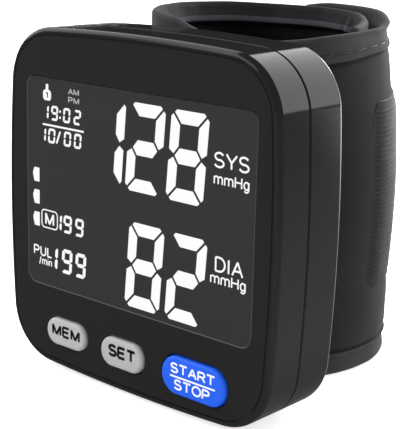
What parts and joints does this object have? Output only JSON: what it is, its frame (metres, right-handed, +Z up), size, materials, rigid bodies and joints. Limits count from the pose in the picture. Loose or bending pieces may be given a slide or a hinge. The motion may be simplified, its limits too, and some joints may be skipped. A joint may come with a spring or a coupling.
{
  "type": "wrist blood pressure monitor",
  "caption": "Wrist blood pressure monitor: flat moulded housing with a backlit display, push buttons and a side battery door, on a wrap-round cloth cuff.",
  "frame": {"origin": "on the display window's outer face, at the middle of the housing's width and height", "axes": "-Y is the way the display faces, +Z is up towards the top of the display, and +X is to the right of someone reading the display"},
  "size_m": [0.0767, 0.0794, 0.0787],
  "materials": {
    "housing_plastic": "fine satin",
    "lens_plastic": "smoked, polished",
    "display_glass": "polished",
    "diffuser": "satin white",
    "board_laminate": "solder mask",
    "grey_button": "satin",
    "blue_button": "satin",
    "plated_steel": "plated",
    "component_black": "moulded",
    "cell_jacket": "printed film, plain",
    "white_nylon": "moulded",
    "silicone": "soft satin",
    "bladder_rubber": "matt",
    "cuff_cloth": "brushed nylon",
    "hook_cloth": "ribbed hook tape"
  },
  "bodies": {
    "housing": {"front_cover": "housing_plastic", "rear_cover": "housing_plastic", "case_screw_1": "plated_steel", "case_screw_2": "plated_steel", "case_screw_3": "plated_steel", "case_screw_4": "plated_steel", "display_window": "lens_plastic", "display_panel": "display_glass", "backlight": "diffuser", "connector_strip": "bladder_rubber", "circuit_board": "board_laminate", "mem_switch": "component_black", "set_switch": "component_black", "start_stop_switch": "component_black", "controller_chip": "component_black", "buzzer": "component_black", "battery_1": "cell_jacket", "battery_2": "cell_jacket", "battery_spring_1": "plated_steel", "battery_spring_2": "plated_steel", "series_contact": "plated_steel", "negative_contact": "plated_steel", "positive_contact": "plated_steel", "pump_motor": "plated_steel", "pump_head": "white_nylon", "exhaust_valve": "white_nylon", "pressure_sensor": "component_black", "air_fitting": "white_nylon", "pump_hose": "silicone", "valve_hose": "silicone", "sensor_hose": "silicone", "cuff_hose": "silicone", "air_nozzle": "white_nylon", "cuff_sleeve": "cuff_cloth", "cuff_former": "white_nylon", "air_bladder": "bladder_rubber", "cuff_screw_1": "plated_steel", "cuff_screw_2": "plated_steel"},
    "mem_key": {"mem_button": "grey_button", "mem_plunger": "white_nylon"},
    "set_key": {"set_button": "grey_button", "set_plunger": "white_nylon"},
    "start_stop_key": {"start_stop_button": "blue_button", "start_stop_plunger": "white_nylon"},
    "door": {"battery_door": "housing_plastic"},
    "flap": {"cuff_flap": "cuff_cloth", "hook_patch": "hook_cloth", "hook_strip": "hook_cloth"},
    "tongue": {"cuff_tongue": "cuff_cloth"}
  },
  "joints": [
    {"name": "mem_press", "type": "slide", "parent": "housing", "child": "mem_key", "axis": [0, 1, 0], "range_m": [0, 0.0004], "stiffness_N_per_m": 400, "springref_m": -0.001},
    {"name": "set_press", "type": "slide", "parent": "housing", "child": "set_key", "axis": [0, 1, 0], "range_m": [0, 0.0004], "stiffness_N_per_m": 400, "springref_m": -0.001},
    {"name": "start_stop_press", "type": "slide", "parent": "housing", "child": "start_stop_key", "axis": [0, 1, 0], "range_m": [0, 0.0004], "stiffness_N_per_m": 400, "springref_m": -0.001},
    {"name": "door_slide", "type": "slide", "parent": "housing", "child": "door", "axis": [0, 1, 0], "range_m": [0, 0.008]},
    {"name": "flap_open", "type": "hinge", "parent": "housing", "child": "flap", "pos_m": [0.01641, 0.02999, 0], "axis": [0, 0, -1], "range_deg": [0, 70]},
    {"name": "tongue_open", "type": "hinge", "parent": "housing", "child": "tongue", "pos_m": [-0.02361, 0.02999, 0], "axis": [0, 0, 1], "range_deg": [0, 28]}
  ],
  "couplings": [
    {"joint": "tongue_open", "follows": "flap_open", "ratio": 0.4}
  ]
}
